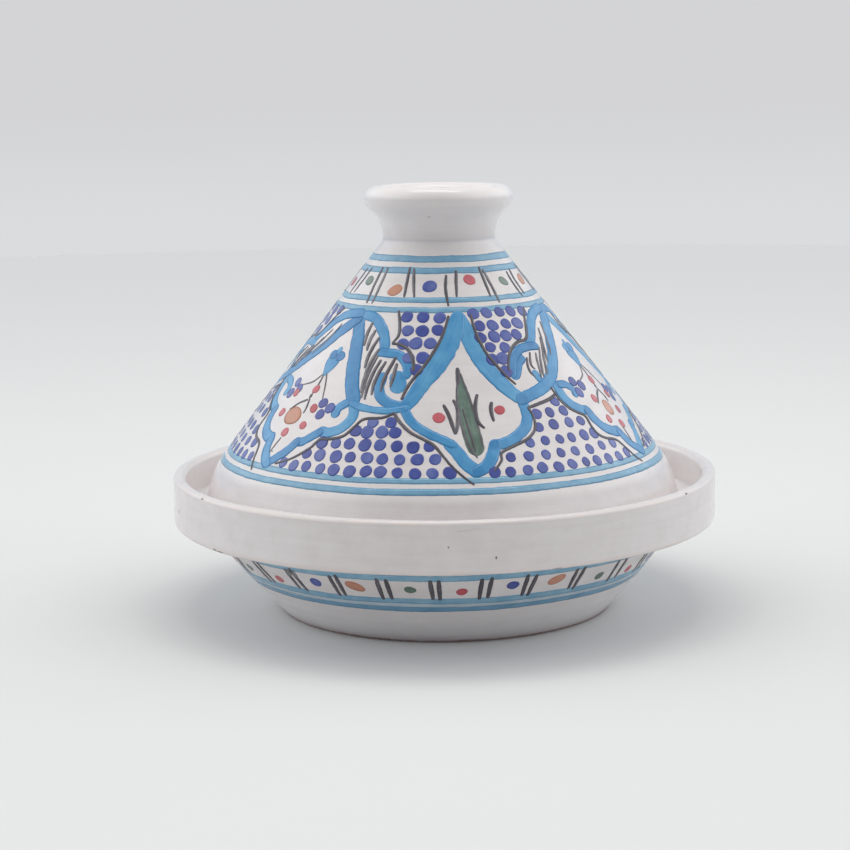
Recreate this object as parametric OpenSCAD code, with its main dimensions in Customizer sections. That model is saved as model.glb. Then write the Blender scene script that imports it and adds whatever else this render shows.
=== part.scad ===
// Tagine: a glazed earthenware dish with a wide collar, and a conical lid with a cup-shaped knob.
// The lid stands on a ledge inside the collar and lifts straight off. The origin is the centre
// of the foot, and +Z is the axis that both pieces were thrown on.

/* [Dish] */
// Outer diameter of the collar
dish_d = 272; // [264:1:280]
// Height of the dish, from the foot to the top of the collar
dish_h = 69; // [66:0.5:74]
// Height of the collar's outer face
collar_h = 24.5; // [22:0.5:26]
// Wall thickness of the collar
collar_t = 6.5; // [5:0.5:8]
// Width of the ledge that carries the lid, from the mouth of the bowl to the collar
ledge_w = 20; // [18:0.5:21]
// Thickness of the ledge
ledge_t = 6.5; // [5.5:0.5:8]
// Diameter of the bowl's outside, where it meets the underside of the collar
shoulder_d = 234; // [228:1:238]
// Outer diameter of the foot
foot_d = 168; // [156:1:176]
// Width of the foot ring
foot_w = 9; // [6:0.5:12]
// Depth of the hollow inside the foot ring
foot_hollow = 2; // [1:0.5:3]
// Thickness of the base
base_t = 7; // [6:0.5:9]

/* [Lid] */
// Height of the lid, from its seat to the top of the knob
lid_h = 159; // [150:1:166]
// Outer diameter at the bottom of the skirt
skirt_d = 238; // [234:1:242]
// Height of the plain skirt under the cone
skirt_h = 24.5; // [20:0.5:28]
// Outer diameter at the foot of the cone
cone_d = 222.5; // [216:0.5:226]
// Wall thickness of the lid
lid_t = 6.5; // [5.5:0.5:8]
// Width of the flat ring that the lid rests on
seat_w = 5; // [4:0.5:6]

/* [Knob] */
// Height of the knob, from the top of the cone to the top of its rim
knob_h = 28; // [24:0.5:32]
// Outer diameter of the knob's rim
knob_d = 74.4; // [68:0.2:80]
// Diameter of the rolled bead around the rim
bead_d = 12; // [9:0.5:13]
// Diameter of the neck, the narrowest place
neck_d = 56; // [52:0.5:60]
// Depth of the cup in the knob
cup_depth = 25; // [18:0.5:26]
// Diameter of the cup's floor
cup_floor_d = 36; // [28:0.5:38]
// Thickness of the clay between the cup and the inside of the lid
crown_t = 9; // [8:0.5:12]

/* [Hidden] */
$fn = 180;

glaze_colour = "#dcd6d2";
arc_steps = 9;       // segments in a rounded edge
bow_steps = 14;      // segments in a long curved wall

// Heights and radii of the dish
dish_r = dish_d / 2;
foot_r = foot_d / 2;
shoulder_r = shoulder_d / 2;
collar_z = dish_h - collar_h;
ledge_z = collar_z + ledge_t;
collar_in_r = dish_r - collar_t;
mouth_r = collar_in_r - ledge_w;
floor_z = foot_hollow + base_t;
foot_edge = 1.2;     // rounding of the foot's outer edge
foot_bevel = 1.5;    // bevel on the inside of the foot ring
collar_edge = 3;     // rounding of the collar's lower edge
corner_r = 2.5;      // rounding where the ledge meets the collar and the mouth
rim_out = 1.8;       // rounding of the rim's outer edge
rim_in = 2.6;        // rounding of the rim's inner edge
shoulder_fillet = 3; // clay smoothed into the corner under the collar
belly_lean = 18.6;     // how far the bowl's outer curve leans out before it turns up
belly_z = 20.8;      // height at which it turns
well_r = 70;         // radius of the flat floor inside
well_lean = 30;      // how far the inner curve runs out along the floor before it rises
well_lift = 5;       // height of that turn above the floor

// Heights and radii of the lid
lid_z = ledge_z;
skirt_r = skirt_d / 2;
cone_r = cone_d / 2;
cone_z = lid_z + skirt_h;
top_z = lid_z + lid_h;
neck_r = neck_d / 2;
neck_z = top_z - knob_h;
neck_fillet = 2.5;   // clay smoothed into the corner between the cone and the neck
cone_k = (cone_r - neck_r - neck_fillet / 2) / (neck_z - cone_z);
skin_r = lid_t * sqrt(1 + cone_k * cone_k);   // wall thickness of the cone, measured level
skirt_edge = 2;      // rounding of the skirt's lower edges
skirt_flat = 5;      // height at which the skirt starts to lean in
skirt_lean = 3;      // how far the cone's line runs on before the skirt turns down
seat_in_r = skirt_r - 2 * skirt_edge - seat_w;
bead_r = bead_d / 2;
bead_c = [knob_d / 2 - bead_r, top_z - bead_r];
flare_end = -50;     // where the flare of the knob runs into the bead
cup_start = 160;     // where the bead turns down into the cup
cup_z = top_z - cup_depth;
cup_floor_r = cup_floor_d / 2;
cup_dish = 1;        // how far the cup's floor sinks towards its centre
roof_z = cup_z - crown_t;
roof_r = cone_r - cone_k * (roof_z - cone_z) - skin_r;
roof_drop = 7;       // height of the curve between the inner cone and the roof

// Points on an arc about c, from angle a to angle b
function arc(c, r, a, b) =
    [for (i = [0:arc_steps]) let (t = a + (b - a) * i / arc_steps) c + r * [cos(t), sin(t)]];

// Points on a quadratic curve from p to q that leaves p and reaches q along the lines to m
function bow(p, m, q) =
    [for (i = [0:bow_steps]) let (t = i / bow_steps) (1 - t) * (1 - t) * p + 2 * t * (1 - t) * m + t * t * q];

// Outside of the dish, from the centre of the base out and up to the underside of the collar
function dish_outside() = concat(
    [[0, foot_hollow], [foot_r - foot_w, foot_hollow], [foot_r - foot_w + foot_bevel, 0]],
    arc([foot_r - foot_edge, foot_edge], foot_edge, -90, -10),
    bow([foot_r + 0.2, foot_edge], [foot_r + belly_lean, belly_z],
        [shoulder_r - 0.6, collar_z - shoulder_fillet]),
    [[shoulder_r + 1, collar_z - 0.7], [shoulder_r + shoulder_fillet, collar_z]]
);

// The collar, from its lower edge over the top and down inside to the ledge and the mouth
function collar() = concat(
    arc([dish_r - collar_edge, collar_z + collar_edge], collar_edge, -90, 0),
    arc([dish_r - rim_out, dish_h - rim_out], rim_out, 0, 90),
    arc([collar_in_r + rim_in, dish_h - rim_in], rim_in, 90, 180),
    arc([collar_in_r - corner_r, ledge_z + corner_r], corner_r, 0, -90),
    arc([mouth_r + corner_r, ledge_z - corner_r], corner_r, 90, 180)
);

// Inside of the bowl, from the mouth down to the centre of the floor
function dish_inside() = concat(
    bow([mouth_r, ledge_z - corner_r - 0.5], [well_r + well_lean, floor_z + well_lift], [well_r, floor_z]),
    [[0, floor_z]]
);

// Outside of the lid, from the seat up the skirt and the cone to the neck
function lid_outside() = concat(
    arc([seat_in_r + skirt_edge, lid_z + skirt_edge], skirt_edge, 180, 270),
    arc([skirt_r - skirt_edge, lid_z + skirt_edge], skirt_edge, -90, 0),
    bow([skirt_r, lid_z + skirt_flat], [cone_r + skirt_lean, cone_z - skirt_lean / cone_k],
        [cone_r, cone_z]),
    bow([neck_r + neck_fillet / 2 + neck_fillet * cone_k, neck_z - neck_fillet],
        [neck_r + neck_fillet / 4, neck_z], [neck_r, neck_z + neck_fillet])
);

// The knob, from the neck up the flare, around the bead and down into the cup
function knob() = concat(
    bow([neck_r, neck_z + neck_fillet + 1], [neck_r + 0.3, neck_z + knob_h * 0.43],
        bead_c + bead_r * [cos(flare_end), sin(flare_end)]),
    arc(bead_c, bead_r, flare_end + 5, cup_start),
    bow(bead_c + bead_r * [cos(cup_start + 5), sin(cup_start + 5)],
        [cup_floor_r + 5, cup_z + 1], [cup_floor_r - 4, cup_z]),
    [[0, cup_z - cup_dish]]
);

// Inside of the lid, from the roof under the knob down to the seat
function lid_inside() = concat(
    bow([0, roof_z], [roof_r * 0.8, roof_z], [roof_r + cone_k * roof_drop, roof_z - roof_drop]),
    bow([cone_r - skin_r, cone_z], [cone_r - skin_r + skirt_lean, cone_z - skirt_lean / cone_k],
        [seat_in_r, lid_z + skirt_edge + 1])
);

module dish() {
    color(glaze_colour)
        rotate_extrude()
            polygon(concat(dish_outside(), collar(), dish_inside()));
}

module lid() {
    color(glaze_colour)
        rotate_extrude()
            polygon(concat(lid_outside(), knob(), lid_inside()));
}

dish();
lid();
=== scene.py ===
import bisect
import math
import random

import bpy
from mathutils import Matrix, Vector, kdtree, noise


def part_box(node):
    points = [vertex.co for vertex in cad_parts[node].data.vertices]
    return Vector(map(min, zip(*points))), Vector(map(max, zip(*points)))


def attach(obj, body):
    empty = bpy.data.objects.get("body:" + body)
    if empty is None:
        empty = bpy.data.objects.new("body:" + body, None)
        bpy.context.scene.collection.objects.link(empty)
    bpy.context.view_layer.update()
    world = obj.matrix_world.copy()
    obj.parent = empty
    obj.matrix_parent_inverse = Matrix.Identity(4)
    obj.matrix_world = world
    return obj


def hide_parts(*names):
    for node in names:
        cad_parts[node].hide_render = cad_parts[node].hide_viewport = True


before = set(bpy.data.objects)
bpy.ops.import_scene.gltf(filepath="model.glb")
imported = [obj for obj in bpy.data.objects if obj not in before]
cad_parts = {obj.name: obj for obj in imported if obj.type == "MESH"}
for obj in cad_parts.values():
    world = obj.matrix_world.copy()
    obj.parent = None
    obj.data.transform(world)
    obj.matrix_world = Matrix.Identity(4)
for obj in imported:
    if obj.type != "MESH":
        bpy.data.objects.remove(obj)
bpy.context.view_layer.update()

# A hand-painted tagine. Both pots are turned again over their CAD bodies with the potter's
# irregularity, and every stroke of the painting is a thin piece of geometry laid on their skin.

# ---------------------------------------------------------------- sizes, in millimetres
# The overall sizes come from the frame, and the others are those of the CAD part. Only the last two
# are the photographed pot's own: how far its collar and its foot were thrown off centre.
MM = 0.001

dish_low, dish_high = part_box("dish")
lid_low, lid_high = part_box("lid")
DISH_R = dish_high.x / MM
DISH_H = dish_high.z / MM
LID_Z = lid_low.z / MM
TOP_Z = lid_high.z / MM
SKIRT_R = lid_high.x / MM

FOOT_R, FOOT_W, FOOT_HOLLOW, FOOT_EDGE = 84.0, 9.0, 2.0, 1.2
BELLY_LEAN, BELLY_Z = 18.6, 20.8
FLOOR_Z, WELL_R = 9.0, 70.0
SHOULDER_R, COLLAR_H, COLLAR_T, LEDGE_T, MOUTH_R = 117.0, 24.5, 6.5, 6.5, 109.5
RIM_OUT, RIM_IN, COLLAR_EDGE, CORNER_R = 1.8, 2.6, 3.0, 2.5
CONE_R, SKIRT_H, SEAT_W, SKIRT_EDGE = 111.25, 24.5, 5.0, 2.0
NECK_R, NECK_FILLET, KNOB_H, BEAD_R, BEAD_C = 28.0, 2.5, 28.0, 6.0, 31.2
CUP_DEPTH, CUP_FLOOR_R, CROWN_T, WALL_T = 25.0, 18.0, 9.0, 6.5
COLLAR_ASIDE, FOOT_ASIDE = 1.1, 1.4

COLLAR_Z = DISH_H - COLLAR_H
COLLAR_IN_R = DISH_R - COLLAR_T
CONE_Z = LID_Z + SKIRT_H
NECK_Z = TOP_Z - KNOB_H
SEAT_IN_R = SKIRT_R - 2 * SKIRT_EDGE - SEAT_W
CONE_K = (CONE_R - NECK_R - NECK_FILLET / 2) / (NECK_Z - CONE_Z)

RING_STEPS = 240
OUTLINE_STEP = 1.4      # longest step along an outline
BEND = 4                # how many outline steps to each side say how sharply it turns


# ---------------------------------------------------------------- outlines
def arc(centre, radius, start, end, steps=10):
    """Points on an arc in the (r, z) plane, angles in degrees."""
    turn = [math.radians(start + (end - start) * i / steps) for i in range(steps + 1)]
    return [(centre[0] + radius * math.cos(t), centre[1] + radius * math.sin(t)) for t in turn]


def bow(start, middle, end, steps=24):
    """Points on a quadratic curve."""
    points = []
    for i in range(steps + 1):
        t = i / steps
        points.append(tuple((1 - t) ** 2 * a + 2 * t * (1 - t) * b + t * t * c
                            for a, b, c in zip(start, middle, end)))
    return points


def close_up(points):
    """The same outline with no step longer than OUTLINE_STEP and no doubled points."""
    result = [points[0]]
    for r, z in points[1:]:
        r0, z0 = result[-1]
        length = math.hypot(r - r0, z - z0)
        if length < 0.02:
            continue
        count = 1 if r == r0 == 0 else math.ceil(length / OUTLINE_STEP)
        result += [(r0 + (r - r0) * i / count, z0 + (z - z0) * i / count)
                   for i in range(1, count + 1)]
    return result


def dish_outside():
    return ([(0, FOOT_HOLLOW), (FOOT_R - FOOT_W, FOOT_HOLLOW), (FOOT_R - FOOT_W + 1.5, 0)]
            + arc((FOOT_R - FOOT_EDGE, FOOT_EDGE), FOOT_EDGE, -90, -10)
            + bow((FOOT_R + 0.2, FOOT_EDGE), (FOOT_R + BELLY_LEAN, BELLY_Z),
                  (SHOULDER_R - 0.6, COLLAR_Z - 3), 40)
            + [(SHOULDER_R + 1, COLLAR_Z - 0.7), (SHOULDER_R + 3, COLLAR_Z)])


def collar_outside():
    return (arc((DISH_R - COLLAR_EDGE, COLLAR_Z + COLLAR_EDGE), COLLAR_EDGE, -90, 0)
            + arc((DISH_R - RIM_OUT, DISH_H - RIM_OUT), RIM_OUT, 0, 90))


def dish_rest():
    ledge_z = COLLAR_Z + LEDGE_T
    return (collar_outside()
            + arc((COLLAR_IN_R + RIM_IN, DISH_H - RIM_IN), RIM_IN, 90, 180)
            + arc((COLLAR_IN_R - CORNER_R, ledge_z + CORNER_R), CORNER_R, 0, -90)
            + arc((MOUTH_R + CORNER_R, ledge_z - CORNER_R), CORNER_R, 90, 180)
            + bow((MOUTH_R, ledge_z - 3), (WELL_R + 30, FLOOR_Z + 5), (WELL_R, FLOOR_Z), 40)
            + [(0, FLOOR_Z)])


def lid_outside():
    return (arc((SEAT_IN_R + SKIRT_EDGE, LID_Z + SKIRT_EDGE), SKIRT_EDGE, 180, 270)
            + arc((SKIRT_R - SKIRT_EDGE, LID_Z + SKIRT_EDGE), SKIRT_EDGE, -90, 0)
            + bow((SKIRT_R, LID_Z + 5), (CONE_R + 3, CONE_Z - 3 / CONE_K), (CONE_R, CONE_Z))
            + bow((NECK_R + NECK_FILLET / 2 + NECK_FILLET * CONE_K, NECK_Z - NECK_FILLET),
                  (NECK_R + 0.6, NECK_Z), (NECK_R, NECK_Z + NECK_FILLET)))


def lid_rest():
    bead = (BEAD_C, TOP_Z - BEAD_R)
    flare, cup = math.radians(-50), math.radians(165)
    cup_z = TOP_Z - CUP_DEPTH
    roof_z = cup_z - CROWN_T
    skin = WALL_T * math.sqrt(1 + CONE_K ** 2)
    roof_r = CONE_R - CONE_K * (roof_z - CONE_Z) - skin
    return (bow((NECK_R, NECK_Z + 3.5), (NECK_R + 0.3, NECK_Z + KNOB_H * 0.43),
                (bead[0] + BEAD_R * math.cos(flare), bead[1] + BEAD_R * math.sin(flare)))
            + arc(bead, BEAD_R, -45, 160, 26)
            + bow((bead[0] + BEAD_R * math.cos(cup), bead[1] + BEAD_R * math.sin(cup)),
                  (CUP_FLOOR_R + 5, cup_z + 1), (CUP_FLOOR_R - 4, cup_z))
            + [(0, cup_z - 1), (0, roof_z)]
            + bow((0.5, roof_z), (roof_r * 0.8, roof_z), (roof_r + CONE_K * 7, roof_z - 7))
            + bow((CONE_R - skin, CONE_Z), (CONE_R - skin + 3, CONE_Z - 3 / CONE_K),
                  (SEAT_IN_R, LID_Z + 3)))


# ---------------------------------------------------------------- the turned bodies
def smooth(low, high, value):
    t = min(1.0, max(0.0, (value - low) / (high - low)))
    return t * t * (3 - 2 * t)


def dish_hand(angle, r, z):
    """How far the thrown dish strays from its outline, along the outline's normal."""
    calm = smooth(0.3, 6, z) * smooth(0.3, 2.5, abs(z - COLLAR_Z - LEDGE_T))
    slow = 0.16 * math.cos(2 * angle + 0.7) + 0.10 * math.cos(3 * angle + 2.1)
    rings = 0.035 * math.sin(z * 1.15 + 0.5 * math.sin(angle)) * smooth(2, 8, z)
    touch = noise.noise(Vector((r * math.cos(angle), r * math.sin(angle), z)) * 0.035)
    return calm * (slow + rings + 0.16 * touch)


def lid_hand(angle, r, z):
    """How far the thrown lid strays from its outline, along the outline's normal."""
    calm = smooth(LID_Z + 0.3, LID_Z + 6, z) * smooth(0, 12, r)
    slow = 0.12 * math.cos(2 * angle - 0.4) + 0.10 * math.cos(3 * angle + 1.3)
    rings = 0.04 * math.sin(z * 1.05 + 0.6 * math.sin(angle + 1))
    touch = noise.noise(Vector((r * math.cos(angle), r * math.sin(angle), z + 300)) * 0.035)
    knob = 0.22 * math.cos(2 * angle + 1.0) * smooth(NECK_Z, TOP_Z, z)
    return calm * (slow + rings + 0.16 * touch + knob)


def normals(outline):
    """Unit normals of an outline in the (r, z) plane, pointing out of the clay."""
    result = []
    for i in range(len(outline)):
        r0, z0 = outline[max(i - 1, 0)]
        r1, z1 = outline[min(i + 1, len(outline) - 1)]
        length = math.hypot(r1 - r0, z1 - z0)
        result.append(((z1 - z0) / length, (r0 - r1) / length))
    return result


def crests(outline):
    """How sharply the outline turns at each point: 1 on a narrow crest, -1 in a tight corner."""
    result = []
    for i in range(len(outline)):
        a, b, c = (outline[min(max(i + k, 0), len(outline) - 1)] for k in (-BEND, 0, BEND))
        u, v = (b[0] - a[0], b[1] - a[1]), (c[0] - b[0], c[1] - b[1])
        size = math.hypot(*u) * math.hypot(*v)
        turn = (u[0] * v[1] - u[1] * v[0]) / size if size > 1e-6 else 0
        result.append(max(-1, min(1, turn * 1.6)))
    return result


def spot(outline_point, normal, angle, offset):
    """A place in metres, from an outline point, its normal, an angle from the front and an offset.
    The dish's collar and foot are moved aside here, toward +x."""
    r, z = outline_point[0] + normal[0] * offset, outline_point[1] + normal[1] * offset
    aside = COLLAR_ASIDE * smooth(SHOULDER_R + 3, COLLAR_IN_R - 3, outline_point[0])
    aside += FOOT_ASIDE * smooth(COLLAR_Z - 4, 2, outline_point[1])
    return ((r * math.sin(angle) + aside) * MM, -r * math.cos(angle) * MM, z * MM)


def add_object(name, vertices, faces, attributes=None, sharp=None):
    mesh = bpy.data.meshes.new(name)
    mesh.from_pydata(vertices, [], faces)
    for key, values in (attributes or {}).items():
        mesh.attributes.new(key, "FLOAT", "POINT").data.foreach_set("value", values)
    mesh.polygons.foreach_set("use_smooth", [True] * len(faces))
    if sharp:
        mesh.attributes.new("sharp_face", "BOOLEAN", "FACE").data.foreach_set("value", sharp)
    mesh.update()
    piece = bpy.data.objects.new(name, mesh)
    bpy.context.collection.objects.link(piece)
    return piece


def dish_painted_light(r, z):
    """Where light is painted into the dish's glaze, as a lighter colour: in the trough of the collar, and
    low on the bowl.
    """
    trough = smooth(COLLAR_IN_R + 2, COLLAR_IN_R, r) * smooth(MOUTH_R - 4, MOUTH_R, r)
    return trough * smooth(COLLAR_Z, COLLAR_Z + 4, z) + 0.5 * smooth(22, 12, z)


def lid_painted_light(r, z):
    """Where light is painted into the lid's glaze, as a lighter colour: on the knob."""
    return 0.6 * smooth(NECK_Z + 4, NECK_Z + 12, z)


def bare_at(r, z, normal):
    """How bare of glaze the outside of the foot is: 1 at its edge, 0 a few millimetres up."""
    return 1 - smooth(0.4, 5.5, z) if r > WELL_R and normal[1] < 0.5 else 0.0


def turned(name, outline, hand, painted_light_at):
    """A body of revolution with the potter's irregularity in it. The outline ends on the axis, or
    is joined back to its start."""
    outline_normals, turns = normals(outline), crests(outline)
    vertices, faces, crest, bare, thick, rows = [], [], [], [], [], []
    for (r, z), normal, turn in zip(outline, outline_normals, turns):
        columns = 1 if r < 0.01 else RING_STEPS
        rows.append((len(vertices), columns))
        for j in range(columns):
            angle = 2 * math.pi * j / RING_STEPS
            offset = hand(angle, r, z) if columns > 1 else 0
            vertices.append(spot((r, z), normal, angle, offset))
            crest.append(turn)
            # the attribute thick carries painted light: a lighter glaze colour where the pot should look
            # more brightly lit
            thick.append(painted_light_at(r, z))
            bare.append(bare_at(r, z, normal))
    if outline[-1][0] > 0:
        rows.append(rows[0])
    for (a, a_count), (b, b_count) in zip(rows, rows[1:]):
        for j in range(RING_STEPS):
            k = (j + 1) % RING_STEPS
            if a_count == 1 and b_count == 1:
                break
            if a_count == 1:
                faces.append((a, b + k, b + j))
            elif b_count == 1:
                faces.append((a + j, a + k, b))
            else:
                faces.append((a + j, a + k, b + k, b + j))
    return add_object(name, vertices, faces, {"crest": crest, "bare": bare, "thick": thick})


class Skin:
    """The outside of a turned body, addressed by degrees from the front and by height."""

    def __init__(self, outline, hand, low, high):
        points = [(z, r, n) for (r, z), n in zip(outline, normals(outline)) if low <= z <= high]
        self.z = [p[0] for p in points]
        self.r = [p[1] for p in points]
        self.n = [p[2] for p in points]
        self.hand = hand

    def row(self, z):
        i = min(max(bisect.bisect_left(self.z, z), 1), len(self.z) - 1)
        t = (z - self.z[i - 1]) / (self.z[i] - self.z[i - 1])
        r = self.r[i - 1] + (self.r[i] - self.r[i - 1]) * t
        normal = tuple(a + (b - a) * t for a, b in zip(self.n[i - 1], self.n[i]))
        return r, normal

    def scale(self, z):
        """Millimetres of surface for one degree around and for one millimetre of height."""
        r, normal = self.row(z)
        return r * math.pi / 180, 1 / max(normal[0], 0.2)

    def place(self, degrees, z, lift):
        r, normal = self.row(z)
        angle = math.radians(degrees)
        return spot((r, z), normal, angle, self.hand(angle, r, z) + lift)


# ---------------------------------------------------------------- brushwork
LIFT = 0.025          # thickness of the first coat of paint and glaze
COAT = 0.008          # how much higher each later stroke lies
BURY = 0.06           # how far the edge of a stroke reaches into the body
STROKE_STEP = 1.1     # length of a mesh step along a stroke
BRISTLE = 1.3         # width of a mesh step across a stroke
DOT_SIDES = 16
DEGREE_MM = 1.4       # roughly how much skin there is to a degree around
RISE_MM = 1.3         # roughly how much skin there is to a millimetre of height


def curve(points, step=0.3):
    """A smooth line through a few (degrees, z) points, with its place in the list as a third value."""
    ends = [points[0]] + list(points) + [points[-1]]
    line = []
    for i in range(len(points) - 1):
        a, b, c, d = ends[i:i + 4]
        length = math.hypot((c[0] - b[0]) * DEGREE_MM, (c[1] - b[1]) * RISE_MM)
        count = max(2, math.ceil(length / step))
        for k in range(count + (i == len(points) - 2)):
            t = k / count
            weights = (-t + 2 * t * t - t ** 3, 2 - 5 * t * t + 3 * t ** 3,
                       t + 4 * t * t - 3 * t ** 3, t ** 3 - t * t)
            line.append(tuple(sum(w * p[n] for w, p in zip(weights, (a, b, c, d))) / 2 for n in (0, 1))
                        + (i + t,))
    return line


class Film:
    """One colour of paint on one body. Every stroke is a thin closed strip that follows the skin."""

    def __init__(self, name, skin, seed):
        self.name, self.skin = name, skin
        self.random = random.Random(seed)
        self.vertices, self.faces, self.sharp = [], [], []
        self.across, self.along, self.tone = [], [], []
        self.trail = []       # (place, half width, stroke number) along every stroke
        self.owner = []       # stroke number of each vertex
        self.strokes = 0

    def vertex(self, degrees, z, lift, across, along, tone):
        self.vertices.append(self.skin.place(degrees, z, lift))
        self.across.append(across)
        self.along.append(along)
        self.tone.append(tone)
        self.owner.append(self.strokes)
        return len(self.vertices) - 1

    def face(self, *corners, sharp=False):
        self.faces.append(corners)
        self.sharp.append(sharp)

    def reached(self, line, first, last):
        """The same line, run on a little at both ends, by lengths in millimetres."""
        ends = []
        for (d0, z0, u0), (d1, z1, _), length in ((line[0], line[3], first),
                                                  (line[-1], line[-4], last)):
            sx, sz = self.skin.scale(z0)
            size = math.hypot((d0 - d1) * sx, (z0 - z1) * sz)
            ends.append((d0 + (d0 - d1) * length / size, z0 + (z0 - z1) * length / size, u0))
        return [ends[0]] + line + [ends[1]]

    def stroke(self, points, widths, coat=0, place=None, reach=0.0, load=(0.0, 1.0)):
        """A brush stroke. Widths are in millimetres, spread along the points. Reach is how far past its
        first and last point it runs, in half widths, and load is how full the brush may be, 0 to 1."""
        line = curve([place(*p) if place else p for p in points])
        widths = widths if isinstance(widths, (list, tuple)) else [widths]
        if reach:
            line = self.reached(line, widths[0] / 2 * reach, widths[-1] / 2 * reach)
        lengths = [0.0]
        for (d0, z0, _), (d1, z1, _) in zip(line, line[1:]):
            sx, sz = self.skin.scale((z0 + z1) / 2)
            lengths.append(lengths[-1] + math.hypot((d1 - d0) * sx, (z1 - z0) * sz))
        total = lengths[-1]
        tone, seed = self.random.uniform(*load), self.random.uniform(0, 500)

        def half_width(s, u):
            w = u / (len(points) - 1) * (len(widths) - 1)
            i = min(int(w), len(widths) - 2)
            if len(widths) == 1:
                full = widths[0]
            else:
                full = widths[i] + (widths[i + 1] - widths[i]) * (w - i)
            half = full / 2
            end = min(s, total - s, half) / half
            return half * max(0.12, math.sqrt(max(0, 1 - (1 - end) ** 2)))

        cap = max(widths[0], widths[-1]) / 2
        stops = [0, cap * 0.1, cap * 0.35, cap * 0.7]
        count = max(1, math.ceil((total - 2 * cap) / STROKE_STEP))
        middle = [cap + (total - 2 * cap) * i / count for i in range(count + 1)]
        if total > 2 * cap:
            stops = stops + middle + [total - s for s in reversed(stops)]
        else:
            stops = stops + [total]
        cells = max(2, math.ceil(max(widths) / BRISTLE))
        lift = LIFT + COAT * coat
        previous = None
        for s in stops:
            i = min(max(bisect.bisect_left(lengths, s), 1), len(line) - 1)
            t = (s - lengths[i - 1]) / max(lengths[i] - lengths[i - 1], 1e-6)
            (d0, z0, _), (d1, z1, _) = line[max(i - 2, 0)], line[min(i + 1, len(line) - 1)]
            degrees, z, u = (a + (b - a) * t for a, b in zip(line[i - 1], line[i]))
            sx, sz = self.skin.scale(z)
            run, rise = (d1 - d0) * sx, (z1 - z0) * sz
            size = math.hypot(run, rise)
            side = (-rise / size, run / size)
            half = half_width(s, u)
            rough = [half * 0.05 * noise.noise(Vector((s * 0.35, seed, n))) * 2
                     + 0.10 * noise.noise(Vector((s * 0.9, seed + 40, n))) for n in (0, 7)]
            self.trail.append((Vector(self.skin.place(degrees, z, 0)), half * MM, self.strokes))
            section = []
            for n in [None] + list(range(cells + 1)) + [None]:
                edge = -1.0 if not section else 1.0
                v = edge if n is None else -1 + 2 * n / cells
                out = v * (half + (rough[0] if v < 0 else rough[1]))
                section.append(self.vertex(degrees + side[0] * out / sx, z + side[1] * out / sz,
                                           -BURY if n is None else lift, v, s, tone))
            if previous:
                last = len(section) - 1
                for n in range(last):
                    self.face(previous[n + 1], previous[n], section[n], section[n + 1],
                              sharp=n in (0, last - 1))
                self.face(previous[0], previous[last], section[last], section[0], sharp=True)
            else:
                self.face(*section, sharp=True)
            previous = section
        self.face(*reversed(previous), sharp=True)
        self.strokes += 1

    def dot(self, degrees, z, width, height, coat=0, lean=0.0, place=None):
        """A dab of the brush: an uneven oval, leaning by an angle in degrees."""
        if place:
            degrees, z = place(degrees, z)
        sx, sz = self.skin.scale(z)
        tone, seed = self.random.random(), self.random.uniform(0, 500)
        turn = math.radians(lean)
        lift = LIFT + COAT * coat
        rings = [(0.45, lift), (0.8, lift), (1.0, lift), (1.0, -BURY)]
        centre = self.vertex(degrees, z, lift, 0, 0, tone)
        previous = [centre] * DOT_SIDES
        for share, level in rings:
            ring = []
            for n in range(DOT_SIDES):
                t = 2 * math.pi * n / DOT_SIDES
                uneven = 1 + 0.16 * noise.noise(Vector((math.cos(t) * 0.8, math.sin(t) * 0.8, seed)))
                x, y = math.cos(t) * width / 2, math.sin(t) * height / 2
                x, y = (x * math.cos(turn) - y * math.sin(turn), x * math.sin(turn) + y * math.cos(turn))
                ring.append(self.vertex(degrees + x * share * uneven / sx, z + y * share * uneven / sz,
                                        level, share, y, tone))
            for n in range(DOT_SIDES):
                k = (n + 1) % DOT_SIDES
                if previous[0] == centre:
                    self.face(centre, ring[n], ring[k])
                else:
                    self.face(previous[n], ring[n], ring[k], previous[k], sharp=level < 0)
            previous = ring
        self.face(*reversed(previous), sharp=True)
        self.strokes += 1

    def overlaps(self):
        """How far each vertex lies inside an earlier stroke of the same colour, from 0 to 1."""
        tree = kdtree.KDTree(max(len(self.trail), 1))
        for i, (where, _, _) in enumerate(self.trail):
            tree.insert(where, i)
        tree.balance()
        reach = max((half for _, half, _ in self.trail), default=0)
        result = []
        for where, owner in zip(self.vertices, self.owner):
            depth = 0.0
            for _, i, distance in tree.find_range(where, reach):
                _, half, number = self.trail[i]
                if number < owner:
                    depth = max(depth, (half - distance) / (0.6 * MM))
            result.append(min(1.0, depth))
        return result

    def build(self, material, slot, body):
        piece = add_object(self.name, self.vertices, self.faces,
                           {"across": self.across, "along": self.along, "tone": self.tone,
                            "over": self.overlaps()}, self.sharp)
        piece.data.materials.append(material)
        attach(piece, body)
        return piece


# ---------------------------------------------------------------- the lid's pattern
# Places on the pots are (degrees from the front, height in mm); brush widths are in mm.
# Six medallions stand round the lid, leaf and fruit in turn. An axis is its degrees at AXIS_Z, and
# how many degrees it leans for each millimetre above that. The two sectors between the front ones
# are drawn below, and the other four repeat them with a little variation.
AXIS_Z = 115
LEAVES = ((9.0, 0.0), (127.5, 0.0), (249.0, 0.0))
FRUITS = ((-48.5, 0.117), (66.7, 0.0), (188.5, -0.06))

LID_RINGS = ((174.6, 177.7), (169.5, 172.4), (156.6, 159.1), (152.1, 154.6), (80.3, 82.8), (75.7, 78.5))

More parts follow.
